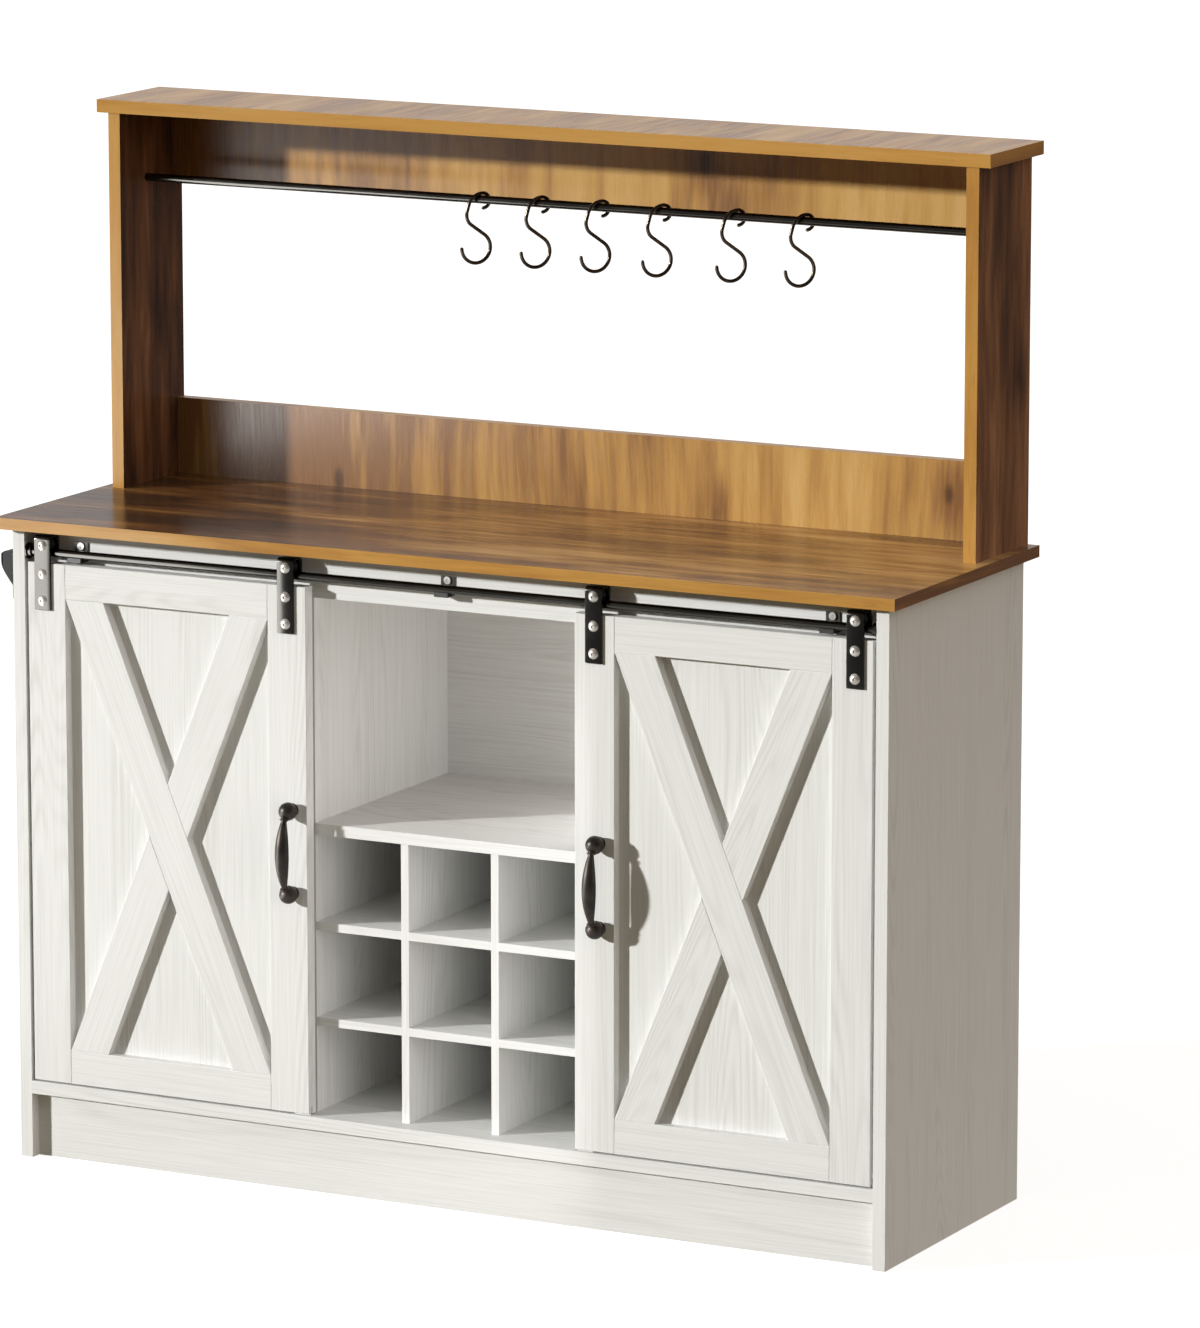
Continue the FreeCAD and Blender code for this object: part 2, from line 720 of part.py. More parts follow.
def make_track():
    """Make the track bar, its brackets, end cups and the bracket screws."""
    bar_end = inner_half_width - cup_flange_thickness
    bar_start = vector(-bar_end, track_y, track_bar_height)
    pieces["track_bar"] = round_bar(track_bar_diameter, bar_start, along(x=1), 2 * bar_end)
    pieces["track_end_cups"] = group([cup_solid(-1), cup_solid(1)])
    for side, name in ((-1, "left"), (1, "right")):
        hole_start = vector(side * (inner_half_width - overrun), track_y, track_bar_height)
        peg_hole = round_bar(cup_peg_diameter, hole_start, along(x=side), cup_peg_length + overrun)
        cut_from("side_panel_" + name, peg_hole)
    screws = []
    brackets = []
    screw_z = (track_bar_height + track_bar_diameter / 2 + bracket_top) / 2 - screw_head_height / 2
    for x in (-bracket_x, 0, bracket_x):
        seat = vector(x, pocket_back - bracket_thickness, screw_z)
        screw = pan_head_screw(seat, along(y=-1))
        brackets.append(bracket_solid(x).cut(screw))
        cut_from("track_board", screw)
        screws.append(screw)
    pieces["track_brackets"] = group(brackets)
    return screws


# Bottom guides
def make_guides():
    """Make the guide fins, which stay under their doors over the whole travel."""
    middle_y = door_front + door_frame_thickness / 2
    depth = (middle_y - guide_fin_thickness / 2, middle_y + guide_fin_thickness / 2)
    reach = door_bottom + guide_fin_engagement
    fins = []
    for side in (-1, 1):
        near = door_inner_x + door_stop_gap
        across = (side * near, side * (near + guide_fin_length))
        fin = block(across, depth, (floor_top - guide_fin_seat, reach))
        cut_from("bottom_panel", fin)
        fins.append(fin)
    pieces["door_guides"] = group(fins)


# Bottle opener
def opener_side_outline():
    """Return the opener's side view, from the wall over the brow down to the foot."""
    wall = -body_half_width
    brow_z = opener_top - opener_brow_height
    reach_x = wall - opener_reach
    crown = vector(wall - opener_reach * opener_brow_share, 0, opener_top)
    root = vector(wall, 0, opener_top - opener_brow_height / 2)
    widest = vector(reach_x, 0, brow_z)
    foot = vector(wall, 0, brow_z - opener_hood_drop)
    brow = Part.BSplineCurve()
    brow.interpolate([root, crown, widest])
    belly = Part.BezierCurve()
    belly.setPoles([widest, vector(reach_x, 0, brow_z - opener_hood_drop * opener_belly_share), foot])
    edges = [brow.toShape(), belly.toShape(), Part.makeLine(foot, root)]
    return Part.Face(Part.Wire(edges))


def opener_solid():
    """Cast opener: a plate, a hood whose cheeks taper to the foot, and a tooth under the roof."""
    wall = -body_half_width
    centre_y = body_front + opener_from_front
    half = opener_plate_width / 2
    brow_z = opener_top - opener_brow_height
    plate_top = brow_z
    plate_bottom = plate_top - opener_plate_height
    side_view = opener_side_outline()
    side_view.translate(vector(0, centre_y - half, 0))
    hood = side_view.extrude(along(y=opener_plate_width))
    plan = block((wall, wall - opener_reach), (centre_y - half, centre_y + half),
                 (plate_bottom - overrun, opener_top + overrun))
    outer_edges = [e for e in plan.Edges
                   if all(abs(v.X - wall + opener_reach) < edge_ease for v in e.Vertexes)
                   and abs(e.Vertexes[0].Z - e.Vertexes[1].Z) > opener_reach]
    hood = hood.common(plan.makeFillet(opener_corner, outer_edges))
    roof_bottom = opener_top - opener_roof
    mouth = block((wall - opener_plate_thickness, wall - opener_reach - overrun),
                  (centre_y - opener_mouth_width / 2, centre_y + opener_mouth_width / 2),
                  (plate_bottom - overrun, roof_bottom))
    hood = hood.cut(mouth)
    plate = block((wall, wall - opener_plate_thickness), (centre_y - half, centre_y + half),
                  (plate_bottom, plate_top))
    lower_edges = [e for e in plate.Edges
                   if abs(e.Vertexes[0].X - e.Vertexes[1].X) > opener_plate_thickness / 2
                   and e.Vertexes[0].Z < plate_bottom + edge_ease]
    plate = plate.makeFillet(opener_plate_corner, lower_edges)
    tooth_top = opener_top - opener_tooth_drop
    tooth_face = wall - opener_plate_thickness
    tooth_half = opener_tooth_width / 2
    tooth = prism([vector(tooth_face, centre_y - tooth_half, tooth_top),
                   vector(tooth_face - opener_tooth_reach, centre_y - tooth_half, tooth_top),
                   vector(tooth_face, centre_y - tooth_half, tooth_top - opener_tooth_height)],
                  along(y=opener_tooth_width))
    return hood.fuse([plate, tooth]).removeSplitter()


def make_opener():
    """Fix the opener to the left side panel with two screws."""
    centre_y = body_front + opener_from_front
    plate_bottom = opener_top - opener_brow_height - opener_plate_height
    screw_z = plate_bottom + opener_screw_above_foot
    screws = []
    opener = opener_solid()
    seat_x = -body_half_width - opener_plate_thickness
    for end in (-1, 1):
        seat = vector(seat_x, centre_y + end * opener_screw_spacing / 2, screw_z)
        screw = pan_head_screw(seat, along(x=-1))
        opener = opener.cut(screw)
        cut_from("side_panel_left", screw)
        screws.append(screw)
    pieces["bottle_opener"] = opener
    return screws


make_carcass()
make_rack()
make_cupboard_shelves()
make_hutch()
make_hooks()
for door_side, door_name in ((-1, "left"), (1, "right")):
    make_door(door_side, door_name)
    make_door_hardware(door_side, door_name)
make_guides()
pieces["pan_head_screws"] = group(make_track() + make_opener())

os.makedirs("parts", exist_ok=True)
for piece_name, piece_shape in pieces.items():
    piece_shape.exportStep("parts/" + piece_name + ".step")
print(len(pieces), "pieces written, door travel", round(door_travel, 1))
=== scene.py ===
# %% [markdown]
# # A bar cabinet, dressed for its picture
# The cabinet's boards, doors, track and hooks come from the imported model, which is never moved or reshaped here.
# This lesson gives each surface its finish, replaces the small round pieces by smooth surfaces worked out with
# numpy, and sets up a plain studio with the camera where the photographer stood.
#
# The imported model is loaded first, because every later step reads places from it.

# %% Load the imported model
import json
import math

import bmesh
import bpy
import numpy as np
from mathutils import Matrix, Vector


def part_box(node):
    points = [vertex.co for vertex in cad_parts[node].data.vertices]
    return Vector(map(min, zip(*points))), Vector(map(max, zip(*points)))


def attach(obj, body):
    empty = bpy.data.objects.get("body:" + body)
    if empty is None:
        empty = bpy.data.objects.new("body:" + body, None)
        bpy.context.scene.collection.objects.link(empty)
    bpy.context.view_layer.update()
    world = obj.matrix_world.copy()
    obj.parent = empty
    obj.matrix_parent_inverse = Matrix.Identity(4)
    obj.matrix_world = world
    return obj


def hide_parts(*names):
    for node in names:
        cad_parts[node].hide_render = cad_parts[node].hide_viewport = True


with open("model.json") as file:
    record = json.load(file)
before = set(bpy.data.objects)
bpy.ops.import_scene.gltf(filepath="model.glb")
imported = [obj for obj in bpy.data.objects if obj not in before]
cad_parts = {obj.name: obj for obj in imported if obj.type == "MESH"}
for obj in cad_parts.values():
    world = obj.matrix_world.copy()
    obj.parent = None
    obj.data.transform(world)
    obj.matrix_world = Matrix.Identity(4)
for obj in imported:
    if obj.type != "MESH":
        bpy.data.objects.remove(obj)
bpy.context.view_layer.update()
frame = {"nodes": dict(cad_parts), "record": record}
nodes = frame["nodes"]
mm = 0.001

# %% [markdown]
# ## The camera
# The photograph was taken from far away with a long lens: the worktop's long edges hardly converge. The place, the
# two angles and the focal length were found by fitting them to 27 corners of the cabinet. A real camera is set up the
# same way, level from side to side, turned to the left and tipped down a little. Its place is in metres and its
# angles are in degrees. The picture is 1328 pixels on its long side, and the lens is given for a 36 mm sensor on
# that side.

# %% Set up the camera
camera_place = (4.21017, -7.91434, 2.35219)
camera_turn = 27.338
camera_tilt = -10.868
focal_pixels = 7659.03
long_side_pixels = 1328
sensor_width = 36
farthest_seen = 200

camera = bpy.data.objects.new("camera", bpy.data.cameras.new("camera"))
bpy.context.scene.collection.objects.link(camera)
camera.location = camera_place
camera.rotation_euler = (math.radians(90 + camera_tilt), 0, math.radians(camera_turn))
camera.data.sensor_width = sensor_width
camera.data.lens = sensor_width * focal_pixels / long_side_pixels
camera.data.clip_end = farthest_seen
bpy.context.scene.camera = camera
print("lens", round(camera.data.lens, 1), "mm")

# %% [markdown]
# ## Small helpers for node trees
# A finish is a tree of nodes. Small helpers keep each tree short: they add a node and join or set its sockets, add
# a sum, turn a value into a smooth rise, mix two colours, and start a new finish. With them a finish reads like a
# recipe.

# %% Make helpers for node trees
def add(tree, kind, settings=(), **sockets):
    """Add a node; each named socket is joined to an output or set to a value."""
    node = tree.nodes.new("ShaderNode" + kind)
    for name, value in settings:
        setattr(node, name, value)
    for name, value in sockets.items():
        set_socket(tree, node.inputs[name.replace("_", " ")], value)
    return node


def set_socket(tree, socket, value):
    """Join a socket to an output, or set its value."""
    if isinstance(value, bpy.types.NodeSocket):
        tree.links.new(value, socket)
    else:
        socket.default_value = value


def calc(tree, operation, *values):
    """One sum on one to three values, such as ADD or MULTIPLY."""
    node = add(tree, "Math", [("operation", operation)])
    for socket, value in zip(node.inputs, values):
        set_socket(tree, socket, value)
    return node.outputs[0]


def fade(tree, value, low, high, start=0.0, end=1.0):
    """Start below low, end above high, and a smooth rise between them."""
    node = add(tree, "MapRange", [("interpolation_type", "SMOOTHSTEP")], Value=value)
    for name, number in (("From Min", low), ("From Max", high), ("To Min", start), ("To Max", end)):
        node.inputs[name].default_value = number
    return node.outputs[0]


def mix_colours(tree, factor, first, second, mode="MIX"):
    """First colour at factor 0, second at factor 1."""
    node = add(tree, "Mix", [("data_type", "RGBA"), ("blend_type", mode)])
    for socket, value in zip((node.inputs[0], node.inputs[6], node.inputs[7]), (factor, first, second)):
        set_socket(tree, socket, value)
    return node.outputs[2]


def new_finish(name):
    """A new material with its node tree and its main shader."""
    material = bpy.data.materials.new(name)
    material.use_nodes = True
    tree = material.node_tree
    return material, tree, tree.nodes["Principled BSDF"]


# %% [markdown]
# ## The studio
# The cabinet stands on a plain white floor in a white room. One strong light comes low from the left front and draws
# crisp shadows behind the frame boards, under the worktop's edge and in the hutch. The lamp is a sun, because its
# shadows stay parallel over the whole width, as they do here, and its angle of three degrees softens their edges a
# little. What fills the shadows is weak and warm: some light from above, a little from behind, and more from a wall
# on the right.
#
# Rays are told apart, as a photographer does with cards and flags. Rays that light a matt surface meet the dim warm
# room. Rays that make gloss meet a bright wall behind the cabinet, for the sheen on the two tops, and a dim one in
# front, so the black steel stays black. The walls have no edges: the light of each rises smoothly with the part of
# the ray's direction that points to it, from none at the first share of its range to all at the second.

# %% Light the room
fill_light = (0.025, 0.022, 0.012)
right_wall_light = (1.10, 0.96, 0.915)
ceiling_light = (0.55, 0.54, 0.50)
wall_behind = (0.30, 0.29, 0.26)
gloss_behind = (0.66, 0.63, 0.62)
gloss_before = (0.11, 0.095, 0.08)
right_wall_range = (0.4, 1.0)
ceiling_range = (0.3, 1.0)
wall_behind_range = (0.5, 1.0)
gloss_range = (-0.2, 0.4)
black, white = (0, 0, 0, 1), (1, 1, 1, 1)

world = bpy.data.worlds.new("white_room")
bpy.context.scene.world = world
world.use_nodes = True
tree = world.node_tree
tree.nodes.clear()
path = add(tree, "LightPath")
towards = add(tree, "SeparateXYZ", Vector=add(tree, "TexCoord").outputs["Generated"])
to_right = fade(tree, towards.outputs["X"], *right_wall_range)
behind = fade(tree, towards.outputs["Y"], *gloss_range)
matt = mix_colours(tree, to_right, black, (*right_wall_light, 1))
above = mix_colours(tree, fade(tree, towards.outputs["Z"], *ceiling_range), (*fill_light, 1), (*ceiling_light, 1))
matt = mix_colours(tree, 1.0, matt, above, "ADD")
to_back = fade(tree, towards.outputs["Y"], *wall_behind_range)
matt = mix_colours(tree, 1.0, matt, mix_colours(tree, to_back, black, (*wall_behind, 1)), "ADD")
gloss = mix_colours(tree, behind, (*gloss_before, 1), (*gloss_behind, 1))
rest = mix_colours(tree, path.outputs["Is Glossy Ray"], white, gloss)
light = mix_colours(tree, path.outputs["Is Diffuse Ray"], rest, matt)
room = add(tree, "Background", Color=light, Strength=1.0)
add(tree, "OutputWorld", Surface=room.outputs[0])
print("room lit with", len(tree.nodes), "nodes")

# %% [markdown]
# ## The floor
# The floor is a large plate. It is the stage and not part of the cabinet. One plain white finish would light the
# cabinet from below more than the photograph shows, so the floor glows white for the camera alone. Matt surfaces
# meet a dim floor, and gloss meets one that is bright near the cabinet and dark far off, from a near reach to a far
# one in metres.

# %% Lay the floor
floor_half = 60.0
floor_white = 0.78
floor_seen_matt = (0.10, 0.075, 0.015)
near_floor_gloss = (0.90, 0.89, 0.87)
far_floor_gloss = (0.13, 0.13, 0.13)
near_reach, far_reach = 2.0, 3.4
floor_grey = (0.5, 0.5, 0.5, 1)
floor_roughness = 0.9
floor_mesh = bpy.data.meshes.new("studio_floor")
floor_mesh.from_pydata([(x, y, 0) for x, y in ((-floor_half, -floor_half), (floor_half, -floor_half),
                                              (floor_half, floor_half), (-floor_half, floor_half))],
                       [], [(0, 1, 2, 3)])
floor = bpy.data.objects.new("studio_floor", floor_mesh)
bpy.context.scene.collection.objects.link(floor)
floor_finish, tree, shader = new_finish("floor_white")
path = add(tree, "LightPath")
shader.inputs["Base Color"].default_value = floor_grey
shader.inputs["Roughness"].default_value = floor_roughness
shader.inputs["Specular IOR Level"].default_value = 0.0
shader.inputs["Emission Color"].default_value = white
shader.inputs["Emission Strength"].default_value = floor_white
reach = add(tree, "VectorMath", [("operation", "LENGTH")], Vector=add(tree, "TexCoord").outputs["Object"])
away = fade(tree, reach.outputs["Value"], near_reach, far_reach)
gloss = mix_colours(tree, away, (*near_floor_gloss, 1), (*far_floor_gloss, 1))
dim = mix_colours(tree, path.outputs["Is Glossy Ray"], (*floor_seen_matt, 1), gloss)
dim_floor = add(tree, "Emission", Color=dim, Strength=1.0)
either = add(tree, "MixShader", Fac=path.outputs["Is Camera Ray"])
tree.links.new(dim_floor.outputs[0], either.inputs[1])
tree.links.new(shader.outputs[0], either.inputs[2])
tree.links.new(either.outputs[0], tree.nodes["Material Output"].inputs["Surface"])
floor_mesh.materials.append(floor_finish)
print("floor", 2 * floor_half, "m wide")

# %% [markdown]
# ## The lamps and the cards
# The sun is turned to shine along one direction. A tall soft card stands close to the left front, and only gloss
# meets it: the left hanger, the left half of the rod and the left ends of the rails mirror it. It ends a little under
# a metre above the floor, because the upper rail mirrors less of it than the lower one. A second card lies on the
# floor, for the rod's underside. A small lamp lifts the niche, and one before the cabinet lifts the bottle rack. A
# card's size and place are in metres and its strength is in watts.

# %% Hang the lamps and the cards
key_direction = (1.2, 1.0, -0.37)
key_strength = 4.1
key_colour = (1.0, 1.0, 0.99)
key_softness = 3
key = bpy.data.objects.new("key_sun", bpy.data.lights.new("key_sun", "SUN"))
bpy.context.scene.collection.objects.link(key)
key_length = math.sqrt(sum(part * part for part in key_direction))
key.rotation_euler = (math.acos(-key_direction[2] / key_length), 0,
                      math.atan2(key_direction[1], key_direction[0]) - math.pi / 2)
key.data.energy = key_strength
key.data.color = key_colour
key.data.angle = math.radians(key_softness)


def soft_card(name, size, energy, place, turn):
    """A rectangular lamp that the camera doesn't see; it shines down until it is turned by degrees about X, Y, Z."""
    lamp = bpy.data.objects.new(name, bpy.data.lights.new(name, "AREA"))
    bpy.context.scene.collection.objects.link(lamp)
    lamp.data.shape = "RECTANGLE"
    lamp.data.size, lamp.data.size_y = size
    lamp.data.energy = energy
    lamp.location = place
    lamp.rotation_euler = [math.radians(part) for part in turn]
    lamp.visible_camera = False
    return lamp


card_edge = -0.82
card_width = 1.0
card_middle = card_edge - card_width / 2
upright_card = soft_card("gloss_upright", (card_width, 0.92), 21, (card_middle, -1.0, 0.49), (90, 0, 0))
floor_card = soft_card("gloss_floor", (card_width, 1.4), 31, (card_middle, -0.30, 0.01), (180, 0, 0))
for lamp in (upright_card, floor_card):
    lamp.visible_diffuse = False

niche_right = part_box("niche_shelf")[1].x
niche_glow = soft_card("niche_glow", (0.24, 0.22), 0.25, (niche_right - 0.004, -0.01, 0.60), (90, 0, 90))
rack_glow = soft_card("rack_glow", (0.30, 0.60), 0.70, (niche_right + 0.03, -0.39, 0.36), (90, 0, 90))
for lamp in (niche_glow, rack_glow):
    lamp.visible_glossy = False
bpy.context.scene.view_settings.view_transform = "Standard"
print("sun turned", [round(math.degrees(turn), 1) for turn in key.rotation_euler])

# %% [markdown]
# ## Wood grain on a board
# A printed wood grain is long in one direction, so its patterns are noises squeezed along the board. The nodes read
# Object coordinates, which are the cabinet's own metres, turned so that the grain lies along Z. Each board is also
# shifted by its own amount, or neighbours would share one pattern. The faces at the ends of the grain carry a thin
# edge band, whose grain runs along the edge, so their points are turned another way. A face counts as such where the
# grain's share of its normal is large.

# %% Turn points to the grain
axis_turn = {"x": (0, math.radians(-90), 0), "y": (math.radians(90), 0, 0), "z": (0, 0, 0)}
facing, edge_facing = 0.7, 0.5


def grain_points(tree, grain, band, shift, lean=0.0):
    """Object points turned so that the grain is Z; on the faces across the grain, so that the band is Z."""
    coords = add(tree, "TexCoord")
    turn = (0, -lean, 0) if lean else axis_turn[grain]
    face = add(tree, "Mapping", Vector=coords.outputs["Object"], Rotation=turn, Location=shift)
    edge = add(tree, "Mapping", Vector=coords.outputs["Object"], Rotation=axis_turn[band], Location=shift)
    normal = add(tree, "SeparateXYZ", Vector=coords.outputs["Normal"])
    across = calc(tree, "GREATER_THAN", calc(tree, "ABSOLUTE", normal.outputs[grain.upper()]), facing)
    pick = add(tree, "Mix", [("data_type", "VECTOR")])
    for socket, value in zip((pick.inputs[0], pick.inputs[4], pick.inputs[5]),
                             (across, face.outputs[0], edge.outputs[0])):
        tree.links.new(value, socket)
    return pick.outputs[1]


def squeezed_noise(tree, points, across, along, detail=2.0, rough=0.5):
    """Noise with that many features per metre across the grain and along it."""
    squeezed = add(tree, "Mapping", Vector=points, Scale=(across, across, along))
    noise = add(tree, "TexNoise", Vector=squeezed.outputs[0], Scale=1.0, Detail=detail, Roughness=rough)
    return noise.outputs["Fac"]


# %% [markdown]
# ## White laminate
# The base cabinet is particle board under a white film with a light grey print of planed wood: fine fibres, broad
# soft bands, and growth lines that bend into arches here and there. The growth lines are the level lines of a slow
# noise, a sine of it, because level lines never cross, like real growth rings cut by a saw. The film is embossed a
# little, so the same lines also lift the surface, by a height in metres.

# %% Print the white laminate
film_white, film_grey = (0.785, 0.787, 0.772, 1), (0.62, 0.62, 0.592, 1)
film_gloss = 0.18
film_roughness = (0.45, 0.6)
ring_phase, wobble_phase = 330.0, 3.0
fibre_depth, line_depth = 0.40, 0.45
film_emboss = {"Strength": 0.25, "Distance": 0.0004}


def white_laminate(name, grain, band, shift, lean=0.0):
    """White film whose grey print is made of growth lines, fibres and soft bands.

    The print's depth is a share of the fibres plus a share of the lines. The lines are the square of half of 1 plus
    the sine of the phase, and the bands let them show.
    """
    material, tree, shader = new_finish(name)
    points = grain_points(tree, grain, band, shift, lean)
    slow = squeezed_noise(tree, points, across=7.0, along=0.6)
    wobble = squeezed_noise(tree, points, across=90.0, along=3.0)
    phase = calc(tree, "MULTIPLY_ADD", slow, ring_phase, calc(tree, "MULTIPLY", wobble, wobble_phase))
    rings = calc(tree, "MULTIPLY_ADD", calc(tree, "SINE", phase), 0.5, 0.5)
    fibres = fade(tree, squeezed_noise(tree, points, 520.0, 7.0, detail=3.0, rough=0.6), 0.35, 0.7)
    bands = fade(tree, squeezed_noise(tree, points, across=30.0, along=0.8), 0.40, 0.70)
    lines = calc(tree, "MULTIPLY", calc(tree, "MULTIPLY", rings, rings), bands)
    depth = calc(tree, "MULTIPLY_ADD", fibres, fibre_depth, calc(tree, "MULTIPLY", lines, line_depth))
    colour = mix_colours(tree, depth, film_white, film_grey)
    tree.links.new(colour, shader.inputs["Base Color"])
    tree.links.new(fade(tree, depth, 0.0, 1.0, *film_roughness), shader.inputs["Roughness"])
    shader.inputs["Specular IOR Level"].default_value = film_gloss
    lift = add(tree, "Bump", Height=depth, **film_emboss)
    tree.links.new(lift.outputs[0], shader.inputs["Normal"])
    return material


# %% [markdown]
# ## Rustic oak laminate
# The worktop and the hutch carry a print of rustic oak: golden wood with brown clouds, soft streaks, fine dark pores
# and a few small knots. Real grain wanders, so the points are first pushed sideways by a slow noise. Then three
# noises, coarse, middle and fine, are added up to one tone, and a row of colours from light to dark follows the tone.
# The knots are the cells of a Voronoi pattern: a dark core, and round it the tone rises, so the streaks darken and
# close round the knot. The rails are golden, the worktop is browner, and the uprights are darkest. The edge band of
# every board is golden and plainer, so the finish looks at which way a face points. The tone changes from the left
# place to the right one, in metres along the cabinet, and this change is partly painted light. It darkens the left
# ends of the rails and the left upright as painted shade in the hutch's shaded left corner. It makes the worktop
# darker to the left, as print clouds and painted shade, and lighter to the right as a painted sheen.

# %% Print the oak laminate
golden = ((0.34, (0.61, 0.378, 0.132)), (0.46, (0.54, 0.312, 0.090)), (0.57, (0.43, 0.228, 0.066)),
          (0.72, (0.23, 0.108, 0.038)))
brown = ((0.24, (0.57, 0.335, 0.125)), (0.37, (0.42, 0.220, 0.066)), (0.48, (0.27, 0.128, 0.036)),
         (0.60, (0.155, 0.067, 0.023)), (0.78, (0.052, 0.025, 0.013)))
dark = ((0.30, (0.33, 0.160, 0.074)), (0.46, (0.21, 0.094, 0.042)), (0.60, (0.12, 0.052, 0.024)),
        (0.74, (0.045, 0.022, 0.014)))
edge_gold = ((0.30, (0.54, 0.315, 0.100)), (0.46, (0.50, 0.262, 0.064)), (0.60, (0.39, 0.185, 0.044)),
             (0.78, (0.17, 0.075, 0.030)))
knot_brown = (0.050, 0.024, 0.012)
knot_halo, knot_depth = 0.14, 0.75
coarse_share, middle_share, fine_share = 0.56, 0.31, 0.13
middle_tone = 0.5
edge_contrast, edge_tone = 0.6, 0.46
pore_depth = 0.22
wander_reach = (0.04, 0.04, 0.0)
# The tone shift runs between these places; it carries painted shade at the left and a painted sheen on the worktop's
# right.
left_place, right_place = -0.50, 0.45
oak_emboss = {"Strength": 0.10, "Distance": 0.0003}


def follow(tree, value, stops):
    """Colour that follows a value through a row of (place, colour) stops."""
    node = add(tree, "ValToRGB", Fac=value)
    row = node.color_ramp.elements
    row[0].position, row[1].position = stops[0][0], stops[-1][0]
    for place, colour in stops[1:-1]:
        row.new(place)
    for stop, (place, colour) in zip(row, stops):
        stop.color = (*colour, 1)
    return node.outputs["Color"]


def wander(tree, points):
    """Points pushed across the grain by a slow noise, by about a centimetre."""
    slow = add(tree, "Mapping", Vector=points, Scale=(4.0, 4.0, 2.2))
    noise = add(tree, "TexNoise", Vector=slow.outputs[0], Scale=1.0, Detail=2.0)
    pushed = add(tree, "VectorMath", [("operation", "MULTIPLY_ADD")])
    for socket, value in zip(pushed.inputs, (noise.outputs["Color"], wander_reach, points)):
        set_socket(tree, socket, value)
    return pushed.outputs[0]


def oak_laminate(name, palette, face, grain, band, shift, rough, gloss, contrast, left, right, end):
    """Film in one palette on the faces that point along the face axis, and golden on the narrow ones.

    Left and right are added to the tone at the cabinet's two sides, and end to that of the band on a side face. Left
    and right are partly painted light: painted shade at the hutch's left corner, and a painted sheen on the worktop.
    """
    material, tree, shader = new_finish(name)
    points = grain_points(tree, grain, band, shift)
    coords = add(tree, "TexCoord")
    normal = add(tree, "SeparateXYZ", Vector=coords.outputs["Normal"])
    narrow = calc(tree, "LESS_THAN", calc(tree, "ABSOLUTE", normal.outputs[face.upper()]), edge_facing)
    cells = add(tree, "Mapping", Vector=points, Scale=(9.0, 9.0, 4.5))
    knots = add(tree, "TexVoronoi", Vector=cells.outputs[0], Scale=1.0).outputs["Distance"]
    halo = fade(tree, knots, 0.04, 0.30, 1.0, 0.0)
    core = fade(tree, knots, 0.03, 0.09, 1.0, 0.0)
    points = wander(tree, points)
    coarse = squeezed_noise(tree, points, 13.0, 2.2, detail=3.0, rough=0.55)
    middle = squeezed_noise(tree, points, 65.0, 5.0, detail=3.0, rough=0.60)
    fine = squeezed_noise(tree, points, 300.0, 11.0, detail=2.0, rough=0.60)
    tone = calc(tree, "MULTIPLY_ADD", coarse, coarse_share, calc(tree, "MULTIPLY", middle, middle_share))
    tone = calc(tree, "MULTIPLY_ADD", fine, fine_share, tone)
    tone = calc(tree, "MULTIPLY_ADD", calc(tree, "SUBTRACT", tone, middle_tone), contrast, middle_tone)
    at_end = calc(tree, "GREATER_THAN", calc(tree, "ABSOLUTE", normal.outputs["X"]), facing)
    plain = calc(tree, "MULTIPLY_ADD", calc(tree, "SUBTRACT", tone, middle_tone), edge_contrast, edge_tone)
    plain = calc(tree, "MULTIPLY_ADD", at_end, end, plain)
    side = add(tree, "SeparateXYZ", Vector=coords.outputs["Object"]).outputs["X"]
    # Painted light: this shift darkens the rails' left ends and the left upright as painted shade, and lightens the
    # worktop's right as a painted sheen; the rest of it is print.
    tone = calc(tree, "ADD", tone, fade(tree, side, left_place, right_place, left, right))
    tone = calc(tree, "MULTIPLY_ADD", halo, knot_halo, tone)
    pores = fade(tree, squeezed_noise(tree, points, 520.0, 9.0, detail=2.0, rough=0.6), 0.58, 0.72)
    printed = follow(tree, tone, palette)
    printed = mix_colours(tree, calc(tree, "MULTIPLY", core, knot_depth), printed, (*knot_brown, 1))
    colour = mix_colours(tree, narrow, printed, follow(tree, plain, edge_gold))
    colour = mix_colours(tree, calc(tree, "MULTIPLY", pores, pore_depth), colour, (*palette[-1][1], 1))
    tree.links.new(colour, shader.inputs["Base Color"])
    tree.links.new(fade(tree, fine, 0.3, 0.7, rough, rough + 0.08), shader.inputs["Roughness"])
    shader.inputs["Specular IOR Level"].default_value = gloss
    lift = add(tree, "Bump", Height=calc(tree, "SUBTRACT", fine, pores), **oak_emboss)
    tree.links.new(lift.outputs[0], shader.inputs["Normal"])
    return material


# %% [markdown]
# ## Each board gets its film
# The table gives the grain of each board as the photograph shows it: upright on the sides, the stiles, the door
# panels and, unusually, the hutch's back rails; level on the door rails, the shelves, the plinth and the worktop; and
# along the braces. The second letter is the grain of the edge bands. The braces lean by the angle that their boxes
# give. The table of the oak boards also holds the palette and the axis that the broad faces point along, and then
# the last six numbers of the oak film. A dress function puts a finish in all slots of a node.

# %% Dress the boards
shift_step = (1.37, 0.83, 2.11)
first_brace, first_oak = 31, 41
brace_width = 0.053


def dress(node, material):
    """Put a finish in the node's slots."""
    slots = nodes[node].data.materials
    slots.clear()
    slots.append(material)


def board_shift(number):
    """A shift in metres for each board: its number times a step, far enough for its own pattern."""
    return tuple(number * step for step in shift_step)


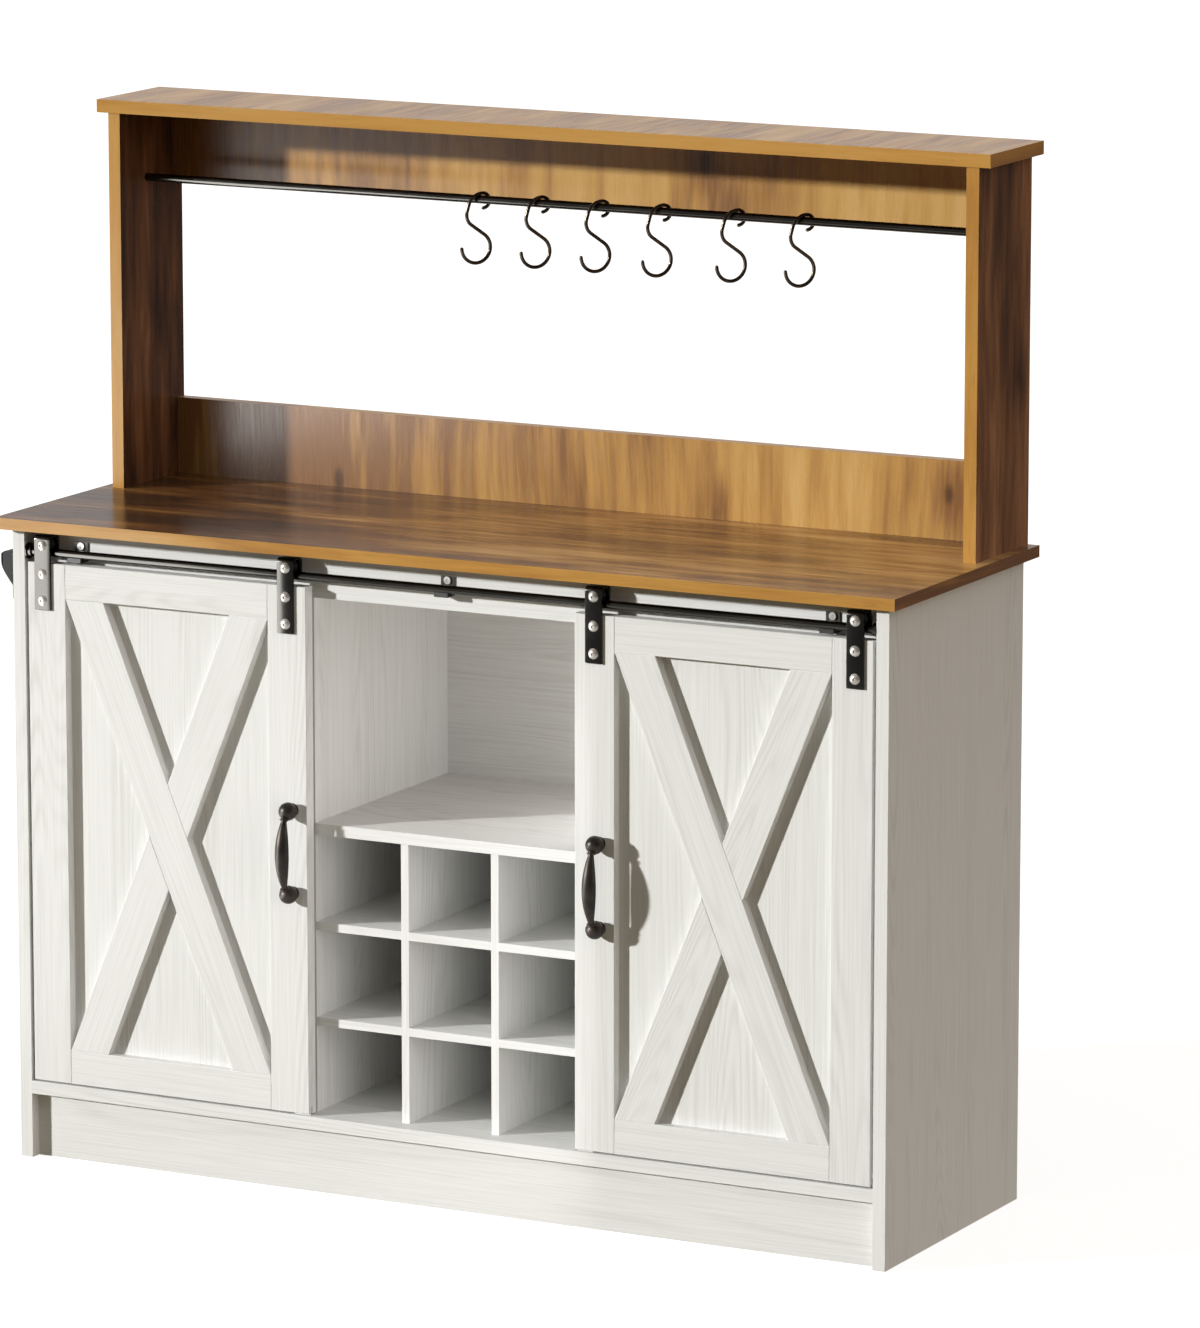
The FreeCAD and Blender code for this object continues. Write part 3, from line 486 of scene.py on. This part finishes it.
white_boards = {
    "side_panel_left": "zy", "side_panel_right": "zy", "divider_left": "zy", "divider_right": "zy",
    "bottom_panel": "xy", "toe_kick": "xz", "centre_support": "yz", "track_board": "xz", "niche_shelf": "xy",
    "back_panel_left": "xz", "back_panel_centre": "xz", "back_panel_right": "xz",
    "rack_shelf_lower": "xy", "rack_shelf_upper": "xy", "rack_divider_left": "zy", "rack_divider_right": "zy",
    "cupboard_shelf_left": "xy", "cupboard_shelf_right": "xy",
    "left_door_skin": "zx", "right_door_skin": "zx", "left_door_stiles": "zx", "right_door_stiles": "zx",
    "left_door_rails": "xz", "right_door_rails": "xz",
}
for number, (node, way) in enumerate(white_boards.items()):
    dress(node, white_laminate("white_" + node, way[0], way[1], board_shift(number)))

low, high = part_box("left_door_long_brace")
brace_lean = math.atan2(high.x - low.x - brace_width, high.z - low.z)
for number, side in enumerate(("left", "right")):
    for node, lean in (("_door_long_brace", -brace_lean), ("_door_short_braces", brace_lean)):
        shift = board_shift(first_brace + 2 * number + (lean > 0))
        dress(side + node, white_laminate("white_" + side + node, "z", "x", shift, lean))

# The left numbers of the back rails and of the left upright paint shade in the hutch's left corner; the worktop's
# pair is partly print clouds, partly painted shade at the left and a painted sheen at the right.
oak_boards = {
    "worktop": (brown, "z", "xy", 0.18, 0.19, 2.0, 0.18, -0.12, 0.32),
    "hutch_top": (golden, "z", "yx", 0.17, 0.20, 1.4, 0.10, 0.10, 0.12),
    "hutch_side_left": (dark, "x", "zy", 0.20, 0.15, 1.8, 0.18, 0.0, 0.0),
    "hutch_side_right": (dark, "x", "zy", 0.22, 0.07, 1.7, 0.0, -0.06, 0.0),
    "hutch_back_upper": (golden, "y", "zx", 0.24, 0.50, 1.50, 0.16, -0.01, 0.0),
    "hutch_back_lower": (golden, "y", "zx", 0.24, 0.50, 1.40, 0.26, -0.01, 0.0),
}
for number, (node, (palette, face, way, *numbers)) in enumerate(oak_boards.items()):
    shift = board_shift(first_oak + number)
    dress(node, oak_laminate("oak_" + node, palette, face, way[0], way[1], shift, *numbers))
print("boards dressed", len(white_boards), "white", len(oak_boards), "oak, and the braces")

# %% [markdown]
# ## Metal and plastic
# The track, the straps and the rod are steel under a thin black coat that shines a little. The hooks are the same
# with brown showing through. The bolts are zinc plated. The pulls are dark bronze, brown in patches. The opener is
# cast and enamelled. Each coat is one recipe with other numbers: a mottled colour and a roughness that follow one
# noise, over the fine waves of a sprayed coat, which is called orange peel. Blotches and waves are counted by the
# metre.

# %% Mix the coats
peel_height = 0.0001


def coated(name, dark, light, rough, metallic=0.0, waves=900.0, peel=0.12, blotches=60.0, spread=0.08, gloss=0.5):
    """Mottled colour and roughness over a fine orange-peel bump."""
    material, tree, shader = new_finish(name)
    points = add(tree, "TexCoord").outputs["Object"]
    mottle = fade(tree, add(tree, "TexNoise", Vector=points, Scale=blotches, Detail=4.0).outputs["Fac"], 0.3, 0.7)
    tree.links.new(mix_colours(tree, mottle, (*dark, 1), (*light, 1)), shader.inputs["Base Color"])
    tree.links.new(fade(tree, mottle, 0.0, 1.0, rough, rough + spread), shader.inputs["Roughness"])
    shader.inputs["Metallic"].default_value = metallic
    shader.inputs["Specular IOR Level"].default_value = gloss
    height = add(tree, "TexNoise", Vector=points, Scale=waves, Detail=2.0).outputs["Fac"]
    lift = add(tree, "Bump", Height=height, Strength=peel, Distance=peel_height)
    tree.links.new(lift.outputs[0], shader.inputs["Normal"])
    return material


black_coat = coated("black_coat", (0.064, 0.062, 0.057), (0.074, 0.071, 0.065), 0.17, metallic=1.0, peel=0.03,
                    blotches=20.0, spread=0.03)
hook_coat = coated("hook_coat", (0.07, 0.058, 0.045), (0.13, 0.11, 0.085), 0.26, metallic=1.0)
bronze = coated("dark_bronze", (0.020, 0.018, 0.015), (0.055, 0.041, 0.032), 0.38, metallic=0.5)
enamel = coated("black_enamel", (0.003, 0.003, 0.003), (0.005, 0.005, 0.005), 0.14, waves=350.0, peel=0.05,
                gloss=0.12)
black_nylon = coated("black_nylon", (0.014, 0.014, 0.014), (0.024, 0.024, 0.024), 0.45)
white_nylon = coated("white_nylon", (0.78, 0.78, 0.76), (0.84, 0.84, 0.82), 0.4)
zinc = coated("zinc_plate", (0.54, 0.51, 0.47), (0.70, 0.67, 0.63), 0.34, metallic=0.6, peel=0.05)
matt_black = coated("matt_black", (0.016, 0.016, 0.015), (0.026, 0.026, 0.024), 0.40)

for node, coat in (("track_brackets", matt_black), ("pan_head_screws", zinc), ("shelf_pins", zinc),
                   ("door_guides", white_nylon), ("bottle_opener", enamel)):
    dress(node, coat)
print("materials", len(bpy.data.materials))

# %% [markdown]
# ## Smooth round pieces
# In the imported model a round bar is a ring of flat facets. Rods, hooks, bolts, wheels and pulls are made again as
# smooth surfaces in the same place. All of them are skins over a row of rings. A turned piece has its rings round one
# straight axis, with radii from a profile, and a bent wire has them along a path. So three short functions are
# enough: one lays the skin, one makes the rings of a turned piece, and one makes the rings along a path in a plane. A
# fourth joins skins into one piece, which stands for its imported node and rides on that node's body.

# %% Make helpers for surfaces
any_way = (0.31, 0.62, 0.72)
sharp_angle = math.radians(35)


def skin(rings, closed=False):
    """Points and faces over a row of rings: fans at both ends, or the last ring joined to the first.

    A face joins a place on a ring, the next place, and the same two places on the ring after it.
    """
    stations, around = rings.shape[:2]
    strips = stations if closed else stations - 1
    row = np.arange(strips)[:, None] * around
    after_row = (np.arange(strips)[:, None] + 1) % stations * around
    place = np.arange(around)
    after = (place + 1) % around
    faces = np.stack([row + place, row + after, after_row + after, after_row + place], -1).reshape(-1, 4).tolist()
    points = rings.reshape(-1, 3)
    if not closed:
        last = (stations - 1) * around
        points = np.concatenate([points, rings[[0, -1]].mean(1)])
        faces += [[last + around, b, a] for a, b in zip(place, after)]
        faces += [[last + around + 1, last + a, last + b] for a, b in zip(place, after)]
    return points, faces


def turned(profile, place, axis, around=40):
    """Rings of a turned piece from its profile of (radius, height) in millimetres.

    A point is the place, plus the height along the axis, plus the radius times the cosine of the angle along one
    side direction and its sine along the other.
    """
    radius, height = np.array(profile, float).T[:, :, None, None] * mm
    axis = np.array(axis, float) / np.linalg.norm(axis)
    side = np.cross(axis, any_way)
    side /= np.linalg.norm(side)
    angle = np.linspace(0, 2 * np.pi, around, endpoint=False)[None, :, None]
    return np.array(place) + axis * height + radius * (np.cos(angle) * side + np.sin(angle) * np.cross(axis, side))


def along_path(path, across, radii, around=20):
    """Round rings along a flat path; across is the unit direction square to the path's plane.

    A point is the path's point, plus the radius times the cosine of the angle outwards in the plane and its sine
    across it.
    """
    run = np.gradient(path, axis=0)
    run /= np.linalg.norm(run, axis=1, keepdims=True)
    outward = np.cross(run, across)[:, None, :]
    angle = np.linspace(0, 2 * np.pi, around, endpoint=False)[None, :, None]
    return path[:, None, :] + np.reshape(radii, (-1, 1, 1)) * (np.cos(angle) * outward + np.sin(angle) * across)


def piece(name, skins, material, body, replaced, bevel=0.0):
    """One object from several skins, with outward faces, that stands for a node and rides on its body."""
    points, faces, start = [], [], 0
    for skin_points, skin_faces in skins:
        points.append(skin_points)
        faces += [[start + corner for corner in face] for face in skin_faces]
        start += len(skin_points)
    mesh = bpy.data.meshes.new(name)
    mesh.from_pydata(np.concatenate(points).tolist(), [], faces)
    form = bmesh.new()
    form.from_mesh(mesh)
    bmesh.ops.recalc_face_normals(form, faces=form.faces)
    form.to_mesh(mesh)
    form.free()
    mesh.shade_smooth()
    mesh.set_sharp_from_angle(angle=sharp_angle)
    mesh.materials.append(material)
    thing = bpy.data.objects.new(name, mesh)
    bpy.context.scene.collection.objects.link(thing)
    if bevel:
        round_edges = thing.modifiers.new("round_edges", "BEVEL")
        round_edges.width = bevel * mm
        round_edges.segments = 2
        round_edges.limit_method = "ANGLE"
        round_edges.angle_limit = sharp_angle
        round_edges.harden_normals = True
    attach(thing, body)
    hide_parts(*replaced)
    print(name, len(faces), "faces")
    return thing


# %% [markdown]
# ## The rod and the track bar
# Both are plain drawn bars, 10 mm thick. Their ends are hidden in the boards or in the cups, and have a small chamfer
# from the saw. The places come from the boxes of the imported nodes. The flat end starts at a small inner ring, which
# the skin's fan closes. From here on, sizes are in millimetres.

# %% Turn the two bars
chamfer = 0.6
for node in ("hanging_rod", "track_bar"):
    low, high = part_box(node)
    radius = (high.z - low.z) / 2 / mm
    length = (high.x - low.x) / mm
    inner = radius / 9
    profile = [(inner, 0), (radius - chamfer, 0), (radius, chamfer),
               (radius, length - chamfer), (radius - chamfer, length), (inner, length)]
    start = (low.x, (low.y + high.y) / 2, (low.z + high.z) / 2)
    bar = skin(turned(profile, start, (1, 0, 0)))
    piece("smooth_" + node, [bar], black_coat, "cabinet", [node])

# %% [markdown]
# ## The cups at the track's ends
# Each cup is one turned piece: a peg in the side panel, a flange against it, and a collar with the bar's bore.

# %% Turn the end cups
bar_low, bar_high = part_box("track_bar")
peg_radius, flange_radius, collar_radius, bore_radius = 3.0, 10.0, 7.5, 5.0
peg_length, flange_width, collar_width = 10.0, 2.5, 7.0
cup_inner, cup_bevel = 0.3, 0.4
profile = [(cup_inner, -peg_length), (peg_radius, -peg_length), (peg_radius, 0), (flange_radius, 0),
           (flange_radius, flange_width), (collar_radius, flange_width), (collar_radius, collar_width),
           (bore_radius, collar_width), (bore_radius, flange_width), (cup_inner, flange_width)]
cups = []
for face, inward in ((bar_low.x - flange_width * mm, 1), (bar_high.x + flange_width * mm, -1)):
    centre = (face, (bar_low.y + bar_high.y) / 2, (bar_low.z + bar_high.z) / 2)
    cups.append(skin(turned(profile, centre, (inward, 0, 0))))
piece("smooth_end_cups", cups, black_coat, "cabinet", ["track_end_cups"], cup_bevel)

# %% [markdown]
# ## The S-hooks
# A hook is one bent wire. Its route is drawn the way a bending jig makes it: start on top of the rod, go a given way,
# and bend by an angle on a radius or run straight for a length. A small curl grips the rod, and the long body ends in
# an open loop. The route lies in an upright plane turned 52 degrees from the rod. The tips are filed round: there the
# wire's radius shrinks as the cosine of an angle while the path goes on as its sine.

# %% Bend the hooks
wire_radius = 2.2
hook_turn = math.radians(52)
hook_count = 6
hook_start = (2.0, 7.5)
curl_bends = [(9.0, -176.0)]
body_bends = [(19.0, 74.0), (8.0, 0.0), (15.0, 70.0), (21.0, 0.0), (18.7, -231.0)]
step_length = 1.2


def bend_wire(start, heading, bends):
    """Points of a route: each bend is (radius, degrees), or (length, 0) for a straight run."""
    points = [np.array(start)]
    heading = math.radians(heading)
    for size, degrees in bends:
        turn = math.radians(degrees)
        length = size * abs(turn) if degrees else size
        steps = max(2, round(length / step_length))
        for share in (np.arange(steps) + 0.5) / steps:
            way = heading + turn * share
            points.append(points[-1] + length / steps * np.array((math.cos(way), math.sin(way))))
        heading += turn
    return np.array(points)


curl = bend_wire(hook_start, 0, curl_bends)
body = bend_wire(hook_start, 180, body_bends)
route = np.concatenate([curl[:0:-1], body]) * mm
tip_angles = np.radians([0, 30, 55, 75, 88])
tip_reach = wire_radius * mm * np.sin(tip_angles)
first_way = (route[0] - route[1]) / np.linalg.norm(route[0] - route[1])
last_way = (route[-1] - route[-2]) / np.linalg.norm(route[-1] - route[-2])
route = np.concatenate([route[0] + tip_reach[:0:-1, None] * first_way, route,
                        route[-1] + tip_reach[1:, None] * last_way])
radii = np.full(len(route), wire_radius * mm)
radii[:len(tip_angles) - 1] = wire_radius * mm * np.cos(tip_angles[:0:-1])
radii[1 - len(tip_angles):] = wire_radius * mm * np.cos(tip_angles[1:])
sideways = np.array((math.cos(hook_turn), math.sin(hook_turn), 0))
square = np.cross(sideways, (0, 0, 1))
pivots = {joint["child"]: joint["pos_m"] for joint in frame["record"]["behaviour"]["joints"] if "pos_m" in joint}
for number in range(1, hook_count + 1):
    name = "s_hook_" + str(number)
    path = np.array(pivots[name]) + route[:, :1] * sideways + route[:, 1:] * np.array((0, 0, 1))
    piece("wire_hook_" + str(number), [skin(along_path(path, square, radii))], hook_coat, name, [name])

# %% [markdown]
# ## The door pulls
# Each pull is cast in one: two balls on flat feet, and between them a bowed grip that swells in the middle, with a
# collar at each end. The grip's line is an arc, and its radius swells as 1 minus the square of the height's share of
# the half length. Past the arc the line runs on straight for a short tail, so the grip ends inside the balls.

# %% Cast the pulls
pull_half = 38.5
pull_rise = 5.2
pull_top = 27.0
neck_radius = 3.7
grip_swell = 4.7
tail = 6.0
ball_height = 50.5
ball_proud = 12.0
ball_radius = 11.0
foot_radius = 8.0
foot_width = 3.0
collar_middle = 42.1
collar_ring, collar_bead = 4.3, 1.2
pull_chamfer = 0.6
ball_end = math.radians(88)
bow_radius = (pull_half ** 2 + pull_rise ** 2) / (2 * pull_rise)
height = np.linspace(-pull_half, pull_half, 61)
proud = pull_top - bow_radius + np.sqrt(bow_radius ** 2 - height ** 2)
swell = neck_radius + grip_swell * (1 - (height / pull_half) ** 2)
slope = pull_half / math.sqrt(bow_radius ** 2 - pull_half ** 2)
tail_height = tail / math.hypot(1, slope)
height = np.concatenate([[-pull_half - tail_height], height, [pull_half + tail_height]])
proud = np.concatenate([[proud[0] - slope * tail_height], proud, [proud[-1] - slope * tail_height]])
swell = np.concatenate([[neck_radius], swell, [neck_radius]])
arc = np.linspace(math.asin((foot_width - ball_proud) / ball_radius), ball_end, 22)
ball_profile = [(foot_radius / 9, 0), (foot_radius, 0), (foot_radius, foot_width - pull_chamfer),
                (foot_radius - pull_chamfer, foot_width)]
ball_profile += [(ball_radius * math.cos(a), ball_proud + ball_radius * math.sin(a)) for a in arc]
bead = np.linspace(0, 2 * np.pi, 16, endpoint=False)
collar_profile = np.stack([collar_ring + collar_bead * np.cos(bead), collar_bead * np.sin(bead)], -1)
collar_proud = proud[1] - slope * (collar_middle - pull_half)

for side in ("left", "right"):
    low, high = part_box(side + "_door_pull")
    door_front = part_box(side + "_door_stiles")[0].y
    centre = np.array(((low.x + high.x) / 2, door_front, (low.z + high.z) / 2))
    path = centre + np.stack([0 * height, -proud, height], -1) * mm
    skins = [skin(along_path(path, np.array((1.0, 0, 0)), swell * mm, around=32))]
    for end in (-1, 1):
        skins.append(skin(turned(ball_profile, centre + np.array((0, 0, end * ball_height)) * mm, (0, -1, 0))))
        collar = centre + np.array((0, -collar_proud, end * collar_middle)) * mm
        skins.append(skin(turned(collar_profile, collar, (0, slope, end)), closed=True))
    piece("cast_pull_" + side, skins, bronze, side + "_door", [side + "_door_pull"])

# %% [markdown]
# ## The straps
# A strap is flat steel folded twice on a bending radius, so its outside corners are round. Its section is a rectangle
# with corners eased in the tumbling drum. The section follows the middle line of the fold: up the front, over the top
# and down to the short back leg. The first and the last ring shrink a little, which eases the cut edges too.

# %% Fold the straps
strap_thickness = 3.0
strap_half = 11.0
fold_radius = 6.0
ease = 0.5
back_leg_foot = 744.0


def rounded_section(half_width, half_thickness, corner, steps=4):
    """Outline of a rectangle with a quarter circle at each corner, as (width, thickness) pairs."""
    outline = []
    for quarter, (a, b) in enumerate(((1, 1), (-1, 1), (-1, -1), (1, -1))):
        angle = np.radians(90 * quarter + np.linspace(0, 90, steps))
        centre = np.array((a * (half_width - corner), b * (half_thickness - corner)))
        outline.append(centre + corner * np.stack([np.cos(angle), np.sin(angle)], -1))
    return np.concatenate(outline)


for side in ("left", "right"):
    low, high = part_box(side + "_door_hangers")
    middle = strap_thickness / 2
    bend = fold_radius - middle
    front, back = low.y / mm + middle, high.y / mm - middle
    top, foot = high.z / mm - middle, low.z / mm
    quarter = np.radians(np.linspace(0, 90, 9))
    over_front = np.stack([front + bend - bend * np.cos(quarter), top - bend + bend * np.sin(quarter)], -1)
    over_back = np.stack([back - bend + bend * np.sin(quarter), top - bend + bend * np.cos(quarter)], -1)
    line = np.concatenate([[(front, foot), (front, foot + ease)], over_front, over_back,
                           [(back, back_leg_foot + ease), (back, back_leg_foot)]])
    run = np.gradient(line, axis=0)
    run /= np.linalg.norm(run, axis=1, keepdims=True)
    inward = np.stack([run[:, 1], -run[:, 0]], -1)
    straps = []
    for x in (low.x / mm + strap_half, high.x / mm - strap_half):
        rings = []
        for station, (at, way) in enumerate(zip(line, inward)):
            less = ease if station in (0, len(line) - 1) else 0.0
            section = rounded_section(strap_half - less, middle - less, ease)
            ring = np.stack([x + section[:, 0], at[0] + section[:, 1] * way[0], at[1] + section[:, 1] * way[1]], -1)
            rings.append(ring * mm)
        straps.append(skin(np.array(rings)))
    piece("folded_straps_" + side, straps, black_coat, side + "_door", [side + "_door_hangers"])

# %% [markdown]
# ## Bolts, sleeves and screws
# A strap is held by three domed bolts with a small round socket. The dome is a slice of a ball: its radius follows
# from the head's width and height. The top bolt is the wheel's axle, and a sleeve on each side keeps the wheel in the
# middle of its fork. The pulls are held by screws from the back of the door. All are turned pieces.

# %% Turn the bolts
head_radius, head_height = 6.5, 3.4
socket_radius, socket_depth = 2.0, 1.6
shank_radius = 2.0
dome_radius = (head_radius ** 2 + head_height ** 2) / (2 * head_height)
strap_depth = 22.5
board_grip = 15.0
bolt_levels = (725.0, 692.5)
bolt_inner = 0.2
sleeve_radius = 4.0
sleeve_play = 0.3
dome = np.linspace(socket_radius, head_radius, 10)
dome_height = np.sqrt(dome_radius ** 2 - dome ** 2) - dome_radius + head_height


def bolt(place, length):
    """Domed bolt with its head at a place, pointing to the front."""
    profile = [(bolt_inner, head_height - socket_depth), (socket_radius, head_height - socket_depth)]
    profile += list(zip(dome, dome_height)) + [(shank_radius, 0), (shank_radius, -length), (bolt_inner, -length)]
    return skin(turned(profile, np.array(place) * mm, (0, -1, 0), around=32))


def sleeve(place, length):
    """Sleeve on an axle, from a place to the back."""
    profile = [(shank_radius, 0), (sleeve_radius, 0), (sleeve_radius, length), (shank_radius, length)]
    return skin(turned(profile, np.array(place) * mm, (0, 1, 0), around=32), closed=True)


screw_radius, screw_head_radius, screw_head_height, screw_grip = 2.0, 4.5, 1.8, 7.0
screw_chamfer = 0.6
for side in ("left", "right"):
    low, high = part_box(side + "_door_hangers")
    skin_low, skin_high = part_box(side + "_door_skin")
    pull_low, pull_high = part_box(side + "_door_pull")
    front = low.y / mm
    skins = []
    for place in ("outer", "inner"):
        x, y, axle = (part / mm for part in pivots[side + "_" + place + "_wheel"])
        wheel_low, wheel_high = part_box(side + "_" + place + "_wheel")
        skins.append(bolt((x, front, axle), strap_depth))
        skins += [bolt((x, front, level), board_grip) for level in bolt_levels]
        gaps = ((front + strap_thickness, wheel_low.y / mm - sleeve_play),
                (wheel_high.y / mm + sleeve_play, high.y / mm - strap_thickness))
        skins += [sleeve((x, start, axle), end - start) for start, end in gaps]
    pull_x = (pull_low.x + pull_high.x) / 2 / mm
    pull_z = (pull_low.z + pull_high.z) / 2 / mm
    length = (skin_high.y - skin_low.y) / mm + board_grip - strap_thickness + screw_grip
    profile = [(bolt_inner, screw_head_height), (screw_head_radius - screw_chamfer, screw_head_height),
               (screw_head_radius, screw_head_height - screw_chamfer), (screw_head_radius, 0), (screw_radius, 0),
               (screw_radius, -length), (bolt_inner, -length)]
    for end in (-1, 1):
        place = np.array((pull_x, skin_high.y / mm, pull_z + end * ball_height)) * mm
        skins.append(skin(turned(profile, place, (0, 1, 0), around=32)))
    piece("bolts_" + side, skins, zinc, side + "_door", [side + "_door_fasteners"])

# %% [markdown]
# ## The wheels
# Each wheel has a groove that fits the round bar with a little play. The groove's profile is an arc round the bar's
# middle, which is 9.8 mm below the wheel's own.

# %% Turn the wheels
bar_distance, groove_radius, bore = 9.8, 5.3, 2.05
for side in ("left", "right"):
    for place in ("outer", "inner"):
        name = side + "_" + place + "_wheel"
        low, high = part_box(name)
        radius, half = (high.z - low.z) / 2 / mm, (high.y - low.y) / 2 / mm
        lip = math.sqrt(groove_radius ** 2 - (bar_distance - radius) ** 2)
        across = np.linspace(-lip, lip, 15)
        groove = bar_distance - np.sqrt(groove_radius ** 2 - across ** 2)
        profile = [(bore, -half), (radius, -half)] + list(zip(groove, across)) + [(radius, half), (bore, half)]
        rings = turned(profile, pivots[name], (0, 1, 0), around=48)
        piece("grooved_" + name, [skin(rings, closed=True)], black_nylon, name, [name])
